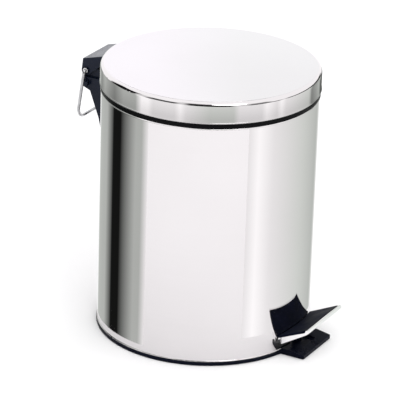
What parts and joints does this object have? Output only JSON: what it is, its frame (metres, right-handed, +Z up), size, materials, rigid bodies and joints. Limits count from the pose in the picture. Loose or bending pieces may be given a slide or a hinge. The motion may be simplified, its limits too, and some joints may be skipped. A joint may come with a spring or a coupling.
{
  "type": "pedal trash can",
  "caption": "Round pedal bin with a polished steel body and hinged lid, wide foot pedal, push rod, rear carry handle and lift-out inner bucket.",
  "frame": {"origin": "on the body's vertical axis, at the floor under the feet", "axes": "+Z up, -Y towards the pedal (the front), +Y towards the hinge, +X to the right of a person facing the front"},
  "size_m": [0.2078, 0.2616, 0.2642],
  "materials": {
    "polished_steel": "mirror-polished stainless steel sheet",
    "chrome_wire": "bright plated wire",
    "black_plastic": "fine-grained blue-black moulding",
    "inner_plastic": "plain black moulding",
    "bucket_plastic": "lightly grained dark grey plastic",
    "pad_rubber": "smooth blue-black rubber",
    "foot_rubber": "matt black rubber",
    "plain_steel": "bright zinc-plated pressed steel",
    "fastener_steel": "turned and plated steel"
  },
  "bodies": {
    "bin": {"outer_body": "polished_steel", "top_collar": "black_plastic", "lid_bumpers": "foot_rubber", "base_moulding": "black_plastic", "rubber_feet": "foot_rubber", "base_screws": "fastener_steel", "pivot_bracket": "plain_steel", "pivot_pin": "fastener_steel", "bucket_tray": "inner_plastic", "rod_guides": "inner_plastic", "hinge_bracket": "black_plastic", "bracket_screws": "fastener_steel", "hinge_pin": "fastener_steel", "pin_caps": "black_plastic"},
    "lid": {"lid_shell": "polished_steel", "lid_liner": "inner_plastic", "lid_hinge_hood": "black_plastic", "lid_screws": "fastener_steel", "link_pin": "fastener_steel"},
    "pedal": {"pedal_lever": "plain_steel", "pedal_plate": "polished_steel", "pedal_pad": "pad_rubber", "pedal_rivets": "fastener_steel"},
    "rod": {"push_rod": "plain_steel", "rod_foot": "inner_plastic"},
    "handle": {"carry_handle": "chrome_wire"},
    "bucket": {"inner_bucket": "bucket_plastic", "bucket_ears": "plain_steel"},
    "bail": {"bucket_handle": "chrome_wire"}
  },
  "joints": [
    {"name": "lid_hinge", "type": "hinge", "parent": "bin", "child": "lid", "pos_m": [0, 0.1223, 0.238], "axis": [-1, 0, 0], "range_deg": [0, 75]},
    {"name": "pedal_axle", "type": "hinge", "parent": "bin", "child": "pedal", "pos_m": [0, -0.054, 0.014], "axis": [1, 0, 0], "range_deg": [0, 12.3]},
    {"name": "rod_slide", "type": "slide", "parent": "bin", "child": "rod", "axis": [0, 0, 1], "range_m": [0, 0.033]},
    {"name": "handle_swing", "type": "hinge", "parent": "bin", "child": "handle", "pos_m": [0, 0.1223, 0.238], "axis": [1, 0, 0], "range_deg": [0, 130]},
    {"name": "bucket_lift", "type": "slide", "parent": "bin", "child": "bucket", "axis": [0, 0, 1], "range_m": [0, 0.01]},
    {"name": "bail_swing", "type": "hinge", "parent": "bucket", "child": "bail", "pos_m": [0, 0, 0.234], "axis": [-1, 0, 0], "range_deg": [0, 7]}
  ],
  "couplings": [
    {"joint": "pedal_axle", "follows": "lid_hinge", "ratio": 0.16267},
    {"joint": "rod_slide", "follows": "lid_hinge", "m_per_rad": 0.025113}
  ]
}
